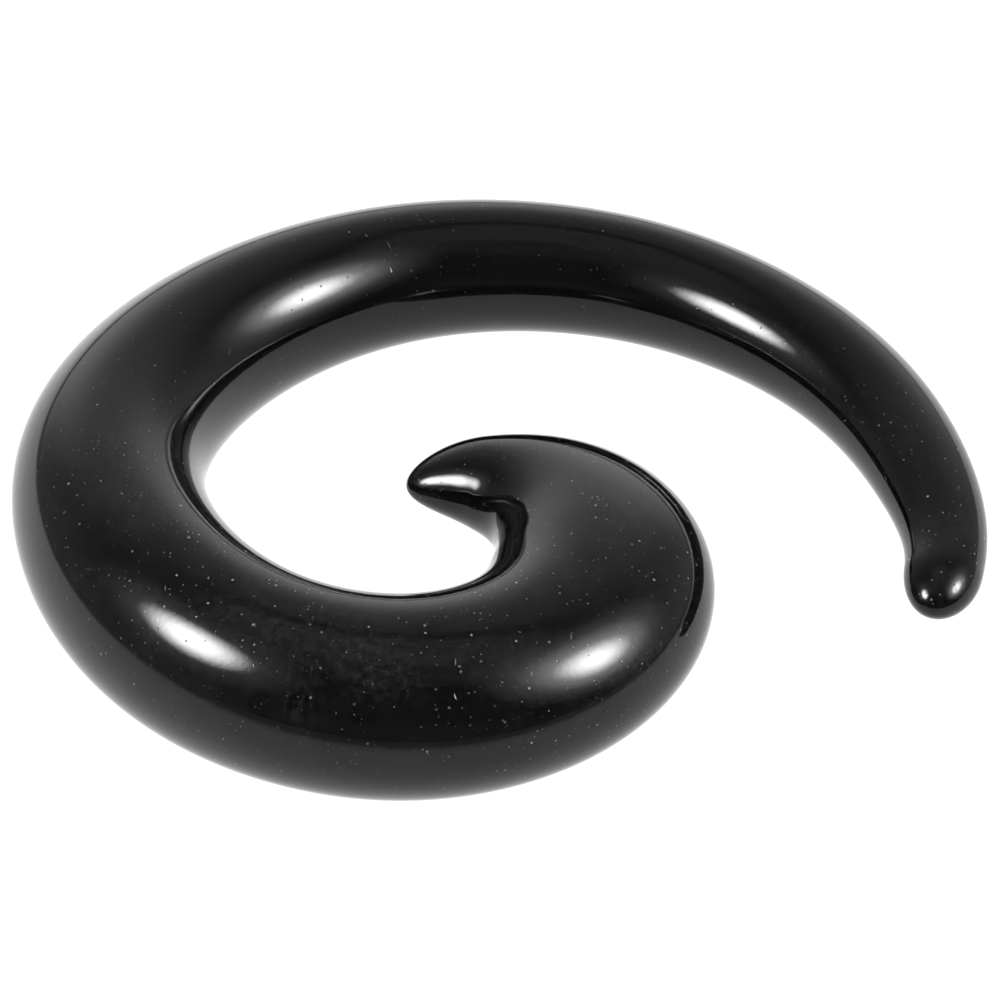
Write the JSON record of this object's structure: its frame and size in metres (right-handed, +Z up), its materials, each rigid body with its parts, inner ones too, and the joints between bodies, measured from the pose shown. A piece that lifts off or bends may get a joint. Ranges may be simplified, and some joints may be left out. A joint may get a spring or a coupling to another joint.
{
  "type": "spiral ear taper",
  "caption": "Acrylic rod bent flat into an open coil, thin at the outer tip and full at the inner turn, worn through a stretched earlobe.",
  "frame": {"origin": "middle of the part's box in X and Y, on the surface that it lies on", "axes": "+Z up from that surface, nearly square to the coil's plane; +X to the right towards the thin tip's side; +Y to the back"},
  "size_m": [0.0486, 0.044, 0.0106],
  "materials": {
    "polished_acrylic": "polished, with light handling wear"
  },
  "bodies": {
    "root": {"spiral_taper": "polished_acrylic"}
  },
  "joints": []
}
